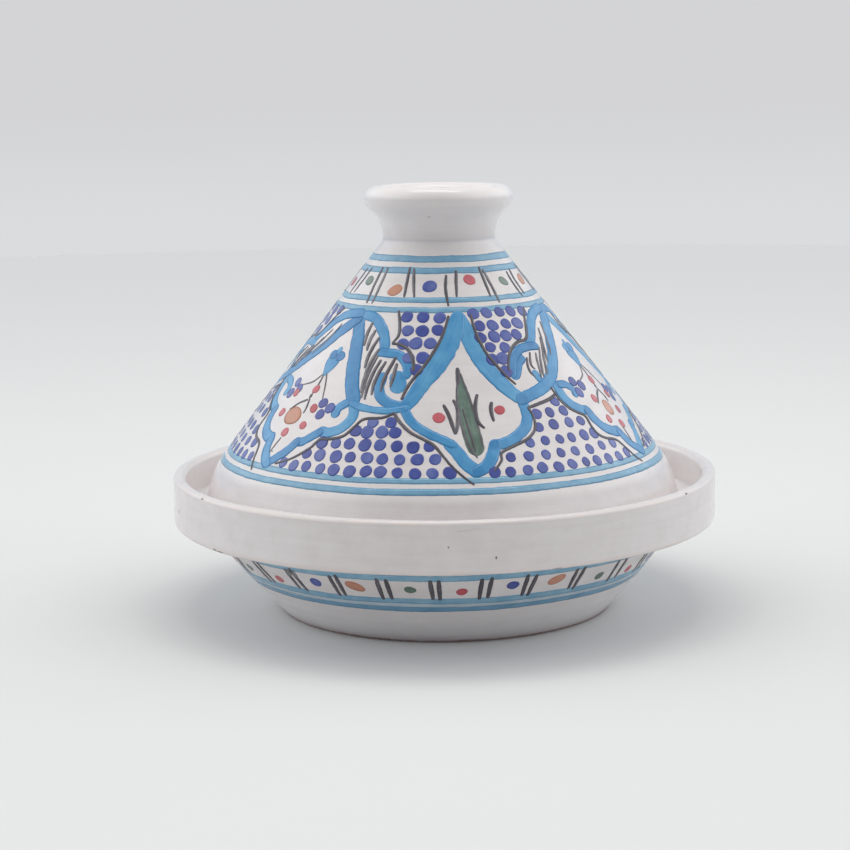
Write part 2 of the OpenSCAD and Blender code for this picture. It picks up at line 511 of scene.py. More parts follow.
# From a fruit medallion on the left to a leaf medallion on the right. A stroke is its width, or a
# list of widths, and the points that it passes.
LEFT_BLUES = (
    (5.5, [(-45, 149.8), (-40, 150.3), (-35, 149.5), (-30.5, 147), (-27, 143.5), (-24.8, 139.5),
           (-24, 136.5)]),
    ([6.5, 7.6, 8, 7.6, 7],
     [(-43.5, 147.5), (-40, 141), (-37, 133), (-34.5, 125), (-32, 118.5), (-29.5, 113.5)]),
    (5, [(-25.5, 134.8), (-22, 134.5), (-18.5, 134.2), (-15.3, 132.8), (-13, 130), (-12.2, 127),
         (-13.2, 124.8)]),
    (8, [(-15.8, 124.5), (-14.8, 120)]),
    (5.3, [(-21.5, 124.5), (-21.8, 120), (-20.2, 115.8), (-17, 113.2), (-13.5, 112.2), (-11.5, 112.5)]),
    (3.8, [(-30, 112.5), (-26, 111), (-21, 110.2), (-16, 110.2), (-11, 111.5)]),
    (5.5, [(-30, 113), (-28.3, 109.5), (-28.5, 105.5), (-31, 101.5), (-34.5, 99.6), (-37.5, 99.8)]),
    (5, [(-37.5, 99.5), (-40, 97), (-42.5, 94.5), (-44.8, 94.2)]),
    (5.5, [(-44.5, 94), (-46.5, 90), (-49, 86.8), (-52, 83.2)]),
    (5, [(-32.2, 112.3), (-34.3, 110.3), (-34.8, 107.3)]),
    ([6, 9, 10, 10.5, 8, 7, 6],
     [(9.5, 151), (6.5, 144.5), (3, 137.5), (-1.5, 130), (-6, 122.5), (-9.5, 115.5), (-11.5, 112)]),
    (4.6, [(-11.5, 110.5), (-8.5, 105.3), (-4, 101.2), (0, 98.6), (3, 96.5)]),
    ([6, 7], [(2, 96.8), (4.3, 93), (6.3, 88.5), (9, 85)]),
)
LEFT_LINES = (
    (1.6, [(-22, 153), (-20.3, 149), (-19, 144.5), (-19.2, 141.5), (-21, 138.8)]),
    (1.8, [(-21, 138.6), (-17, 138.2), (-13.5, 136.2), (-11.3, 133), (-10.3, 129.5), (-10.2, 127)]),
    (1.8, [(-13, 115), (-11.8, 119.5), (-9.5, 124.3), (-6, 129.5), (-2.5, 135.5), (1, 142), (4.5, 150.8)]),
    ([1.8, 1.6, 1.0], [(-14.7, 109.3), (-12.5, 105.7), (-9, 101.5), (-5, 98.6), (-2, 96), (0.5, 91.5),
                       (3.5, 86), (7.8, 79.8)]),
    (1.6, [(-14.7, 109.2), (-18, 107.2), (-24, 106.2), (-26.3, 103), (-29, 98.8), (-33, 97), (-36.5, 96.3),
           (-38.5, 92.5), (-41.5, 89), (-44.5, 86.3), (-48.5, 84)]),
)
LEFT_HATCHES = (
    1.9,        # brush width
    [(-34.8, 147.5), (-35.3, 142), (-34.3, 137)],
    [(-31.4, 144.3), (-32.4, 139.5), (-32, 135)],
    [(-28, 141.3), (-29.8, 136), (-30.3, 131), (-30, 127.5)],
    [(-26.3, 136.3), (-28.4, 130), (-28.6, 124), (-28.2, 117)],
    [(-26, 133.5), (-27.5, 127), (-27.8, 121), (-27.2, 114.8)],
    [(-24, 131.6), (-25.6, 126), (-26.2, 119.5), (-25.8, 114.2)],
    [(-21.7, 131), (-23.3, 126), (-24.1, 121), (-23.8, 116.3)],
    [(-17.9, 133), (-19.6, 128), (-20.7, 123), (-20.8, 117.8)],
    [(-17, 130.3), (-17.3, 125), (-17.7, 119.8)],
)
# Rows of cobalt dots: size, height, first and last degrees, how many.
LEFT_ROWS = (
    (6.2, 150.2, -16.5, 0, 3), (6.2, 144.6, -15, -1.3, 3), (6.2, 138.8, -16, -4.3, 3),
    (6.2, 133, -12.5, -7.2, 2), (6.2, 127.5, -9, -9, 1), (6.0, 104.9, -20.5, -15.5, 2),
    (6.0, 101.2, -25.5, -13.2, 4), (6.0, 95.6, -35, -3.5, 8), (6.0, 90.2, -38.6, -1.8, 9),
    (6.0, 84.8, -45.5, 2, 12),
)

# From a leaf medallion on the left to a fruit medallion on the right.
RIGHT_BLUES = (
    ([5.5, 8.5, 8.5, 8, 7],
     [(9.5, 151), (12, 145), (13.8, 138), (16.5, 130.5), (20.5, 123), (24.5, 117), (27.5, 113.8)]),
    (5.6, [(27.3, 112), (27.3, 107), (25.5, 102.3), (21.5, 98.3), (17.5, 96), (15, 95.7)]),
    (6, [(15, 96), (13.8, 92), (11.8, 87.5), (9, 85)]),
    ([6, 7], [(27, 113.5), (31, 115), (36, 116.8), (41, 119.5), (46, 124), (51, 130), (56, 137),
              (61, 143.5), (66, 148.5)]),
    (5.5, [(66, 151), (61, 150.5), (56, 149.3), (51, 146.5), (47, 142.5), (43.5, 138.5), (41.5, 136.8)]),
    (4.8, [(44.5, 135.3), (40, 135.5), (35.5, 134.8), (31.5, 132.5), (28.7, 128.8), (27.3, 124.5)]),
    (5, [(34, 130.8), (31.5, 129), (29.8, 126), (28, 123.5)]),
    (4, [(37, 124), (38, 120.5)]),
    (5.5, [(43.8, 118), (44.3, 113), (46.3, 108.8), (49.5, 106), (52.5, 105)]),
    (6, [(52, 105), (52.8, 101), (55, 97), (58.5, 94.3), (61.5, 93.8)]),
    (6, [(61.5, 93.5), (62.5, 89.5), (64.5, 86), (67, 83.3)]),
    (4.5, [(45.5, 117.8), (48.8, 117.2), (51, 115), (50.8, 112.5)]),
)
RIGHT_LINES = (
    (1.7, [(16, 151.3), (16.2, 146.5), (17, 141), (19, 134.5), (21.8, 129), (24.5, 124), (27.2, 120)]),
    (1.7, [(51.3, 152.6), (48, 149), (45, 144.5), (42.5, 140.5), (40, 138.4), (36, 138), (32, 136),
           (28.8, 132.5), (27, 128.5), (26.3, 125.8)]),
    (1.8, [(28.5, 109.8), (33, 111), (38, 112.4), (41.8, 114.3)]),
    (1.5, [(28.5, 109.8), (29.3, 106), (28.3, 101), (25, 97.2), (20.5, 94.8), (16.3, 92.3),
           (15.7, 89), (13.2, 85)]),
    (1.6, [(41, 117.2), (42, 112), (44, 107.8), (47, 105), (49.3, 103), (49.5, 98), (50.3, 95),
           (52.5, 92.7), (56.8, 90.8), (59, 87), (60.8, 82.5), (62.8, 79.3)]),
)
RIGHT_HATCHES = (
    1.3,        # brush width
    [(36.7, 131), (35.3, 127.5), (35.2, 124.5), (36.3, 122.3)],
    [(39.3, 133), (37.6, 129.5), (37, 127), (38, 125.5)],
    [(42.3, 132.5), (40.8, 128.5), (39.8, 124.5), (38.8, 121.3)],
    [(46, 134.8), (43, 129.5), (41, 124.5), (40.2, 121.5)],
    [(47.5, 134.5), (45, 129), (42, 122.5)],
    [(50, 138.8), (47.8, 134.5), (45, 129.5), (42.7, 122.5)],
    [(53, 142.8), (50.5, 138), (47.5, 131.5), (46, 127.5)],
    [(57.5, 145.5), (55.3, 140.5), (52.5, 134.5), (50, 130.3)],
)
RIGHT_ROWS = (
    (6.1, 151.2, 17.5, 48, 5), (6.1, 146, 19.2, 40.5, 4), (6.1, 140.8, 18.5, 37, 4),
    (6.1, 136.3, 21.5, 28.2, 2), (6.1, 131.5, 21, 25.3, 2), (6.1, 126, 25, 25, 1),
    (5.4, 111.2, 39.5, 39.5, 1), (5.4, 106.8, 31, 41, 3), (5.4, 101.6, 30, 46.5, 4),
    (5.4, 95.5, 25.5, 49, 6), (5.4, 90, 18.3, 54, 8), (5.4, 84.6, 13.2, 57.7, 11),
)

# Inside a leaf medallion, in degrees from its axis.
LEAF = ([2, 6, 8.2, 8.8, 8.2, 6],
        [(-2.2, 124.5), (-1.7, 118), (-1, 109), (-0.2, 100), (0.5, 94), (0.9, 91.5)])
LEAF_LINES = (
    (2.3, [(-2.6, 128.5), (-2.6, 125), (-3, 121)]),
    (1.2, [(-3.1, 122), (-3.7, 116), (-3.4, 108), (-2.4, 100), (-0.9, 94), (0.5, 90.5)]),
    (1.2, [(-1.7, 126), (-0.5, 120), (1, 112), (1.9, 104), (2.4, 95)]),
    (1.1, [(-2.2, 111), (-1.2, 104), (-0.3, 97), (0.2, 93)]),
    (1.9, [(-8.2, 113), (-6.5, 108), (-5, 100.5)]),
    (1.9, [(-5, 115), (-3.8, 111), (-4.2, 104), (-5, 100.5)]),
    (1.9, [(3.3, 117), (2, 112), (2, 106), (3.8, 102.5)]),
    (1.9, [(7.7, 113.5), (6.8, 110), (7, 105.2)]),
)
LEAF_BERRIES = ((-9.7, 107.5, 6.0, 5.7), (9.6, 109.8, 5.4, 5.0))    # degrees, height, width, tall

# Inside a fruit medallion, in degrees from its axis. The two sides of the pot differ a little.
BUD = ([2.6, 4.2, 8.8, 9.6, 9], [(-0.6, 122.6), (-0.5, 124.6), (-0.5, 128), (-0.6, 131), (-0.4, 132.6)])
BUD_TIPS = ((-2.4, 132.2, 5.4, 5.4), (2.0, 131.8, 6.0, 5.8), (-0.3, 134.0, 3.2, 4.6))
SPRIG = (
    (0.8, [(-1.2, 123.5), (-4, 119.6), (-9.5, 117.3)]),
    (1.0, [(-0.6, 123), (-0.2, 120), (-0.2, 113.5)]),
    (0.8, [(0.4, 124), (3, 119.8), (6.3, 112.5)]),
    (1.6, [(-0.2, 114.5), (-0.3, 112.5)]),
    (1.1, [(-0.5, 112), (-3.5, 110), (-6.5, 106.5)]),
    (1.1, [(0, 112.5), (1.2, 109), (1.5, 106)]),
    (0.9, [(-1.2, 94.8), (-1.8, 87.5)]),
)
FRUIT_BERRIES = {
    "left": ((0.2, 116.8), (-9.4, 113.8), (-9.6, 104.6), (-1.1, 97.2), (4.7, 101.2), (4.7, 108.7)),
    "right": ((0, 116.5), (-7, 109), (-6.3, 99.5), (-0.3, 96), (4.8, 101.5), (5, 109)),
}
FRUIT_CENTRE = {"left": (-2.6, 104.5, 12.5, 10), "right": (-1.9, 104, 7.6, 9)}
FRUIT_TRIPLES = ((-13.2, 118), (-9.4, 115.6), (-13.1, 113), (7.4, 111.3), (11.3, 109.6), (8.9, 106.7))

# The panel band between the upper rings: dots, then the bars drawn between them.
LID_PANEL = ((-78, 164, "red"), (-54, 165.5, "green"), (-28.5, 162, "orange"), (-6, 164, "blue"),
             (20.5, 166.5, "red"), (47, 165, "green"), (70, 164.5, "orange"), (93.6, 164, "blue"),
             (117.5, 165, "red"), (141, 163.5, "green"), (164, 165.5, "orange"), (188, 164, "blue"),
             (211.5, 165, "red"), (235.5, 164.5, "green"), (258.5, 163.5, "blue"))
# For each colour in a band: width, height and lean of the dab.
LID_DAB = {"red": (6.0, 5.4, -25), "green": (6.2, 5.0, -35), "orange": (7.2, 5.6, 30),
           "blue": (6.8, 6.2, 10)}
DISH_DAB = {"red": (5.4, 4.8, 10), "green": (5.6, 4.6, 15), "orange": (9.6, 5.8, 24), "blue": (6.2, 5.6, 0)}
LID_BARS = (
    [(4.8, 169), (3.8, 163), (4.8, 155)], [(12.3, 171), (11, 165.5), (10, 159)],
    [(31, 172), (31.2, 158.5)], [(33.5, 171), (35, 163), (35.5, 155.5)],
    [(-22.3, 172.5), (-21.5, 164), (-21, 159)], [(-18.8, 172), (-17, 166), (-14.8, 159)],
    [(-47, 172), (-46.5, 164), (-45, 155.5)], [(-41.5, 172), (-41, 164), (-41, 155.5)],
    [(-67.5, 171), (-69.5, 159)], [(-60.5, 171.5), (-64, 159.5)],
    [(56, 169), (55.5, 163), (57, 157)], [(62, 170), (60, 165), (60.5, 158)],
)
LID_FRONT_TO = 70       # bars are drawn one by one as far as this many degrees, and by a loop past it

# ---------------------------------------------------------------- the dish's pattern
DISH_RINGS = ((36.7, 40.0, 0.2), (23.9, 27.0, 0.3), (19.4, 22.0, 1.0))    # low, high, brush load
DISH_WASH = (21.9, 24.1)
DISH_DOTS = ((-58, 31.5, "green"), (-45.5, 30, "red"), (-32.5, 32.3, "blue"), (-21.5, 32.6, "orange"),
             (-8, 32, "green"), (4.3, 30.7, "red"), (16.7, 33, "blue"), (28.1, 33.3, "orange"),
             (42.2, 30.5, "green"), (54.8, 29.5, "red"))
# Pairs of bars: degrees of the left one's top and foot, then of the right one's.
DISH_PAIRS = ((-53, -51, -51, -49), (-40.6, -39.4, -38.8, -37.1), (-27.5, -27, -25.7, -25.3),
              (-15.5, -15.3, -13.3, -13), (-3, -2.7, -1, -1), (9, 8.7, 11.3, 10.8), (20, 19.7, 22.3, 21.3),
              (33.3, 33.1, 35.5, 34.7), (47.3, 47.2, 50.4, 50.2))
DISH_CYCLE = ("blue", "orange", "green", "red")
DISH_MORE = 20          # panels around the back, past the ones listed above
# Blemishes on the collar, where the glaze is chipped or has pinholes: degrees, height, width, tall.
CHIPS = ((0.6, 57.8, 0.7, 0.9), (9.5, 52.4, 0.8, 1.5), (-56.9, 68.3, 2.2, 1.0), (-71.7, 55.7, 1.2, 2.4),
         (-50.6, 45.6, 5.5, 0.9), (-52.4, 45.9, 3.0, 1.2), (56.7, 68.2, 2.2, 1.2), (21.8, 45.2, 5.0, 0.5),
         (101, 61, 0.9, 0.8), (139, 45.9, 4.5, 1.3), (171, 54, 0.7, 1.1), (204, 68.3, 1.8, 1.0),
         (256, 59, 0.8, 0.9))
WRINKLE = ([0.3, 0.8, 0.3], [(2.2, 65.2), (4.4, 65.3), (6.8, 66.3)])
SMUDGES = ((-39.9, 35.5, 3.4, 4.8), (-38.0, 34.9, 2.6, 4.4))


# ---------------------------------------------------------------- the painting
def axis_at(axis, z):
    return axis[0] + axis[1] * (z - AXIS_Z)


def sector(drawn, target, jitter):
    """Moves a place from the sector it was drawn in to another one, straying a little if asked."""

    def place(degrees, z):
        left, right = (axis_at(a, z) for a in drawn)
        new_left, new_right = (axis_at(a, z) for a in target)
        u = (degrees - left) / (right - left)
        if jitter:
            inside = max(0.0, min(1.0, 4 * u * (1 - u)))
            where = Vector((degrees * 0.06, z * 0.06, jitter))
            elsewhere = where + Vector((0, 0, 50))
            u += 0.025 * noise.noise(where) * inside
            z += 1.3 * noise.noise(elsewhere) * inside
        return new_left + u * (new_right - new_left), z

    return place


def around(axis):
    """Moves a place given in degrees from a medallion's axis to that axis."""
    return lambda degrees, z: (axis_at(axis, z) + degrees, z)


def ring(film, low, high, start, coat=0, full=0.5):
    """One turn of the banding wheel: a ring that overlaps its own start. Full is how loaded the
    brush is."""
    width = (high - low) * film.skin.scale((low + high) / 2)[1]
    points = [(start + 12 * i, (low + high) / 2 + film.random.uniform(-0.16, 0.16)) for i in range(31)]
    points.append((start + 366, points[0][1] + 0.1))
    widths = [width * film.random.uniform(0.92, 1.06) for _ in points]
    film.stroke(points, widths, coat, load=(full, full + 0.1))


class Paints:
    """The films of every colour on one body."""

    def __init__(self, body, skin):
        self.body = body
        seeds = {"turquoise": 11, "blue": 12, "line": 13, "red": 14, "orange": 15, "green": 16, "ring": 18}
        if body == "dish":
            seeds.update({"wash": 17, "smudge": 19})
        self.films = {key: Film(f"{body}_{key}", skin, seed) for key, seed in seeds.items()}
        self.random = random.Random(len(body) * 7)

    def __getitem__(self, key):
        return self.films[key]

    def dab(self, key, degrees, z, width, height, coat=2, lean=0.0, place=None, vary=0.0):
        """A dot, up to a share of vary larger or smaller than it says."""
        grow = self.random.uniform(1 - vary, 1 + vary)
        self[key].dot(degrees, z, width * grow, height * grow, coat, lean, place)

    def line(self, points, width, shares, coat, place=None, reach=0.0, load=(0.0, 1.0)):
        """A black line, whose width is spread along it in the shares given."""
        self["line"].stroke(points, [width * share for share in shares], coat, place, reach, load)

    def build(self, materials):
        for key, film in self.films.items():
            if film.faces:
                film.build(*materials[key], self.body)


def paint_sector(paints, blues, lines, hatches, rows, drawn, target, jitter):
    """The arches, outlines, hatching and dots between two medallions, later strokes over earlier."""
    place = sector(drawn, target, jitter)
    for i, (width, points) in enumerate(blues):
        paints["turquoise"].stroke(points, width, 1 + 1.5 * (i % 6), place, 0.8)
    for i, (width, points) in enumerate(lines):
        widths = width if isinstance(width, list) else [width * 0.8, width, width, width * 0.7]
        paints.line(points, 0.95, widths, 12 + i, place, 0.3, (0.5, 1.0))
    for i, points in enumerate(hatches[1:]):
        paints.line(points, hatches[0], (0.7, 1.0, 1.0, 0.45), 10.5 + i % 2, place, load=(0.0, 0.55))
    for size, z, first, last, count in rows:
        for k in range(count):
            degrees = first + (last - first) * k / max(count - 1, 1) + paints.random.uniform(-0.35, 0.35)
            height = z + paints.random.uniform(-0.35, 0.35)
            paints.dab("blue", degrees, height, size, size * 1.03, 9.5, paints.random.uniform(-25, 25),
                       place, 0.09)


def paint_leaf(paints, axis):
    place = around(axis)
    paints["green"].stroke(LEAF[1], LEAF[0], 2, place)
    for i, (width, points) in enumerate(LEAF_LINES):
        paints.line(points, width, (0.7, 1.0, 1.0, 0.6), 4.5 + 1.2 * i, place, load=(0.4, 0.9))
    for degrees, z, width, height in LEAF_BERRIES:
        paints.dab("red", degrees, z, width, height, 9, 0, place)


def paint_fruit(paints, axis, side):
    place = around(axis)
    paints["turquoise"].stroke(BUD[1], BUD[0], 2, place, 0.0, (0.5, 0.8))
    for i, (degrees, z, width, height) in enumerate(BUD_TIPS):
        paints.dab("turquoise", degrees, z, width, height, 3.5 + i, 0, place)
    for i, (width, points) in enumerate(SPRIG):
        paints.line(points, width, (1.0, 1.1, 0.7), 7 + 0.8 * (i % 4), place, load=(0.3, 0.9))
    degrees, z, width, height = FRUIT_CENTRE[side]
    paints.dab("orange", degrees, z, width, height, 4, 0, place)
    for degrees, z in FRUIT_BERRIES[side]:
        paints.dab("red", degrees, z, 4.8, 4.9, 11, 0, place, 0.08)
    for degrees, z in FRUIT_TRIPLES:
        paints.dab("blue", degrees, z, 5.6, 5.6, 10, 0, place, 0.06)


def paint_lid(paints):
    for i, (low, high) in enumerate(LID_RINGS):
        ring(paints["ring"], low, high, 150 + 17 * i)
    lefts = list(zip(FRUITS, LEAVES))
    rights = list(zip(LEAVES, FRUITS[1:] + ((FRUITS[0][0] + 360, FRUITS[0][1]),)))
    for i in range(3):
        paint_sector(paints, LEFT_BLUES, LEFT_LINES, LEFT_HATCHES, LEFT_ROWS,
                     lefts[0], lefts[i], i * 5.3)
        paint_sector(paints, RIGHT_BLUES, RIGHT_LINES, RIGHT_HATCHES, RIGHT_ROWS,
                     rights[0], rights[i], i * 7.1)
        paint_leaf(paints, LEAVES[i])
        paint_fruit(paints, FRUITS[i], "left" if i == 0 else "right")
    for degrees, z, key in LID_PANEL:
        wide, high, lean = LID_DAB[key]
        paints.dab(key, degrees, z, wide, high, 6, lean, None, 0.06)
    later = [p[0] for p in LID_PANEL if p[0] >= LID_FRONT_TO] + [LID_PANEL[0][0] + 360]
    bars = list(LID_BARS)
    for a, b in zip(later, later[1:]):
        for share in (0.42, 0.58):
            middle = a + (b - a) * share + paints.random.uniform(-1, 1)
            slant = paints.random.uniform(-1.6, 1.6)
            bars.append([(middle - slant, 171.5), (middle, 165), (middle + slant, 158)])
    for points in bars:
        paints.line(points, 1.0, (1.1, 1.6, 1.5, 0.9), 9, load=(0.1, 0.7))


def paint_dish(paints):
    for i, (low, high, full) in enumerate(DISH_RINGS):
        ring(paints["ring"], low, high, 120 + 25 * i, 1, full)
    ring(paints["wash"], *DISH_WASH, 200)
    dots, pairs = list(DISH_DOTS), list(DISH_PAIRS)
    first, last = DISH_DOTS[0][0] + 360, DISH_DOTS[-1][0]
    for k in range(1, DISH_MORE):
        key = "red" if k == DISH_MORE - 1 else DISH_CYCLE[(k - 1) % len(DISH_CYCLE)]
        dots.append((last + (first - last) * k / DISH_MORE, 31.5 + paints.random.uniform(-1.3, 1.3), key))
    for k in range(DISH_MORE):
        middle = last + (first - last) * (k + 0.5) / DISH_MORE + paints.random.uniform(-0.8, 0.8)
        slant = paints.random.uniform(-0.6, 0.6)
        pairs.append((middle - 1.1, middle - 1.1 + slant, middle + 1.1, middle + 1.1 + slant))
    for degrees, z, key in dots:
        wide, high, lean = DISH_DAB[key]
        paints.dab(key, degrees, z, wide, high, 4, lean if degrees > 0 else -lean, None, 0.06)
    for degrees, z, width, height in SMUDGES:
        paints.dab("smudge", degrees, z, width, height, 12)
    for left_top, left_foot, right_top, right_foot in pairs:
        for top, foot in ((left_top, left_foot), (right_top, right_foot)):
            high = 38 + paints.random.uniform(-0.8, 0.6)
            low = 26 + paints.random.uniform(-0.7, 0.5)
            paints.line([(top, high), (top * 0.5 + foot * 0.5, 32), (foot, low)],
                        1.0, (1.5, 2.3, 2.1, 1.4), 8, load=(0.4, 1.0))


def blemish_collar(skin, chip_material, glaze):
    """Chips and pinholes in the collar's glaze, and one wrinkle of glaze on its face."""
    chips = Film("dish_chips", skin, 21)
    for degrees, z, width, height in CHIPS:
        chips.dot(degrees, z, width, height)
    chips.build(*chip_material, "dish")
    wrinkle = Film("dish_wrinkle", skin, 22)
    wrinkle.stroke(WRINKLE[1], WRINKLE[0], 8)
    wrinkle.build(glaze, "white_glaze", "dish")


# ---------------------------------------------------------------- materials
def colour(hex_code):
    """Linear colour from a hex code."""
    parts = [int(hex_code[i:i + 2], 16) / 255 for i in (0, 2, 4)]
    return [p / 12.92 if p <= 0.04045 else ((p + 0.055) / 1.055) ** 2.4 for p in parts] + [1.0]


class Nodes:
    """A short way to write a node tree."""

    def __init__(self, tree):
        self.tree = tree
        tree.nodes.clear()

    def add(self, kind, inputs=None, **settings):
        node = self.tree.nodes.new(kind)
        for key, value in settings.items():
            setattr(node, key, value)
        for key, value in (inputs or {}).items():
            if isinstance(value, bpy.types.NodeSocket):
                self.tree.links.new(value, node.inputs[key])
            else:
                node.inputs[key].default_value = value
        return node

    def math(self, operation, a, b=0.0, c=0.0):
        return self.add("ShaderNodeMath", {0: a, 1: b, 2: c}, operation=operation).outputs[0]

    def times(self, a, b):
        return self.math("MULTIPLY", a, b)

    def attribute(self, name):
        return self.add("ShaderNodeAttribute", attribute_name=name).outputs["Fac"]

    def place(self):
        return self.add("ShaderNodeTexCoord").outputs["Object"]

    def noise(self, vector, scale, detail=3.0, roughness=0.5):
        node = self.add("ShaderNodeTexNoise",
                        {"Vector": vector, "Scale": scale, "Detail": detail, "Roughness": roughness})
        return node.outputs["Fac"]

    def mix(self, factor, a, b):
        node = self.add("ShaderNodeMix", {0: factor, 6: a, 7: b}, data_type="RGBA")
        return node.outputs[2]

    def spread(self, value, low, high, to_low=0.0, to_high=1.0, kind="LINEAR"):
        """Maps a value from one range to another, and holds it inside the second."""
        node = self.add("ShaderNodeMapRange", {"Value": value, "From Min": low, "From Max": high,
                                               "To Min": to_low, "To Max": to_high},
                        interpolation_type=kind)
        return node.outputs[0]

    def blend(self, factor, a, b):
        return self.add("ShaderNodeMix", {0: factor, 2: a, 3: b}).outputs[0]

    def cells(self, vector, scale, channel, kept):
        """Distance from the middle of scattered cells, and 1 in the share of them that is kept."""
        node = self.add("ShaderNodeTexVoronoi", {"Vector": vector, "Scale": scale, "Randomness": 1.0})
        parts = self.add("ShaderNodeSeparateColor", {"Color": node.outputs["Color"]})
        return node.outputs["Distance"], self.math("GREATER_THAN", parts.outputs[channel], 1 - kept)

    def ramp(self, value, stops):
        node = self.add("ShaderNodeValToRGB", {"Fac": value})
        elements = node.color_ramp.elements
        while len(elements) < len(stops):
            elements.new(0.5)
        for element, (position, shade) in zip(elements, stops):
            element.position, element.color = position, shade
        return node.outputs["Color"]

    def bump(self, height, distance, normal=None):
        inputs = {"Height": height, "Strength": 1.0, "Distance": distance}
        if normal:
            inputs["Normal"] = normal
        return self.add("ShaderNodeBump", inputs).outputs["Normal"]

    def finish(self, base, rough, normal, **sockets):
        shader = self.add("ShaderNodeBsdfPrincipled", {"Base Color": base, "Roughness": rough,
                                                       "Normal": normal, **sockets})
        self.add("ShaderNodeOutputMaterial", {"Surface": shader.outputs[0]})


def new_material(name):
    material = bpy.data.materials.new(name)
    material.use_nodes = True
    return material, Nodes(material.node_tree)


GLAZE = {"IOR": 1.52, "Specular IOR Level": 0.5}


def ripple(n, where):
    """The glaze's own surface: slow waves from the throwing and dipping, and a fine orange peel."""
    slow = n.noise(where, 38.0, 2.0)
    fine = n.noise(where, 420.0, 2.0)
    return n.bump(fine, 0.00002, n.bump(slow, 0.0005))


def white_glaze():
    """Warm white tin glaze: thinner and pinker on crests, with painted shade that greys tight corners and
    painted light that whitens the collar's trough, the knob and the low bowl, with specks and pinholes, and
    bare gritty clay at the foot's edge."""
    material, n = new_material("white_glaze")
    where = n.place()
    cloud = n.noise(where, 14.0, 4.0, 0.6)
    mottle = n.noise(where, 90.0, 4.0, 0.65)
    x, y, z = n.add("ShaderNodeSeparateXYZ", {0: where}).outputs
    turning = n.add("ShaderNodeCombineXYZ", {0: n.times(x, 0.06), 1: n.times(y, 0.06), 2: z}).outputs[0]
    thrown = n.noise(turning, 330.0, 3.0, 0.6)
    shade = n.math("MULTIPLY_ADD", mottle, 0.35, n.times(cloud, 0.40))
    shade = n.math("MULTIPLY_ADD", thrown, 0.25, shade)
    body = n.ramp(shade, [(0.32, colour("dad2d1")), (0.52, colour("e4dddc")), (0.72, colour("ebe6e5"))])

    crest = n.attribute("crest")
    worn = n.times(n.spread(crest, 0.35, 1.0), n.spread(mottle, 0.40, 0.65, 0.15, 1.0))
    body = n.mix(n.times(worn, 0.45), body, colour("e6d3c9"))
    # painted shade: the glaze is greyed in the tight corners of the outline, where shade falls
    painted_corner_shade = n.spread(crest, -0.12, -0.70, 0.0, 0.75)
    body = n.mix(painted_corner_shade, body, colour("c8c6c8"))
    # painted light: the glaze is whitened where the attribute thick is set, in the collar's trough, on the
    # knob and low on the bowl
    body = n.mix(n.times(n.attribute("thick"), 0.85), body, colour("f5f1f0"))

    distance, picked = n.cells(where, 75.0, 0, 0.38)
    hole = n.times(n.spread(distance, 0.018, 0.040, 1.0, 0.0), picked)
    distance, picked = n.cells(where, 330.0, 1, 0.10)
    speck = n.times(n.spread(distance, 0.03, 0.10, 0.55, 0.0), picked)
    body = n.mix(speck, body, colour("a58f80"))
    body = n.mix(hole, body, colour("5d463c"))

    near_foot = n.attribute("bare")
    body = n.mix(n.times(near_foot, 0.4), body, colour("a8959a"))
    frayed = n.math("ADD", near_foot, n.times(n.math("SUBTRACT", mottle, 0.5), 0.35))
    bare = n.spread(frayed, 0.86, 0.95)
    grit = n.noise(where, 900.0, 3.0, 0.7)
    clay = n.ramp(grit, [(0.3, colour("86706c")), (0.7, colour("b39b94"))])
    body = n.mix(bare, body, clay)

    gloss = n.spread(n.noise(where, 55.0, 3.0), 0.3, 0.7, 0.13, 0.24)
    rough = n.blend(bare, gloss, 0.85)
    relief = n.bump(thrown, 0.00012, ripple(n, where))
    depth = n.math("ADD", hole, n.times(speck, 0.25))
    pit = n.bump(n.times(depth, -1.0), 0.0004, relief)
    n.finish(body, rough, n.bump(n.times(grit, bare), 0.0003, pit), **GLAZE)
    return material


def brushed_paint(name, thin, full, thick, streak):
    """Paint laid on with a brush: streaks along the stroke, darker rims and overlaps, thin places."""
    material, n = new_material(name)
    where = n.place()
    across, along, tone = (n.attribute(key) for key in ("across", "along", "tone"))
    hairs = n.add("ShaderNodeCombineXYZ", {0: n.times(across, 3.2), 1: n.times(along, 0.06),
                                           2: n.times(tone, 37.0)}).outputs[0]
    hair = n.noise(hairs, 1.6, 3.0, 0.6)
    blot = n.noise(where, 130.0, 4.0, 0.6)
    rim = n.math("POWER", n.math("ABSOLUTE", across), 6.0)
    amount = n.math("MULTIPLY_ADD", n.math("SUBTRACT", hair, 0.5), streak, 0.5)
    amount = n.math("MULTIPLY_ADD", n.math("SUBTRACT", blot, 0.5), 0.7, amount)
    amount = n.math("MULTIPLY_ADD", n.math("SUBTRACT", tone, 0.5), 0.36, amount)
    amount = n.math("MULTIPLY_ADD", rim, 0.22, amount)
    amount = n.math("MULTIPLY_ADD", n.attribute("over"), 0.19, amount)
    shade = n.ramp(amount, [(0.18, thin), (0.50, full), (0.92, thick)])
    gloss = n.spread(blot, 0.3, 0.7, 0.12, 0.22)
    n.finish(shade, gloss, ripple(n, where), **GLAZE)
    return material


# ---------------------------------------------------------------- the camera and the stage
CAMERA_AT, CAMERA_TARGET, CAMERA_ROLL = (-0.0001, -0.9943, 0.2541), (-0.0081, 0.0, 0.0900), -0.79
CAMERA_LENS, CAMERA_SENSOR = 84.7, 36.0
FLOOR_SHADE, WALL_LOW, WALL_HIGH = "dfdfde", "dadcdd", "d4d4d6"
WALL_FADE = 0.25        # height in metres over which the backdrop's painted light goes from its low to its darker high shade
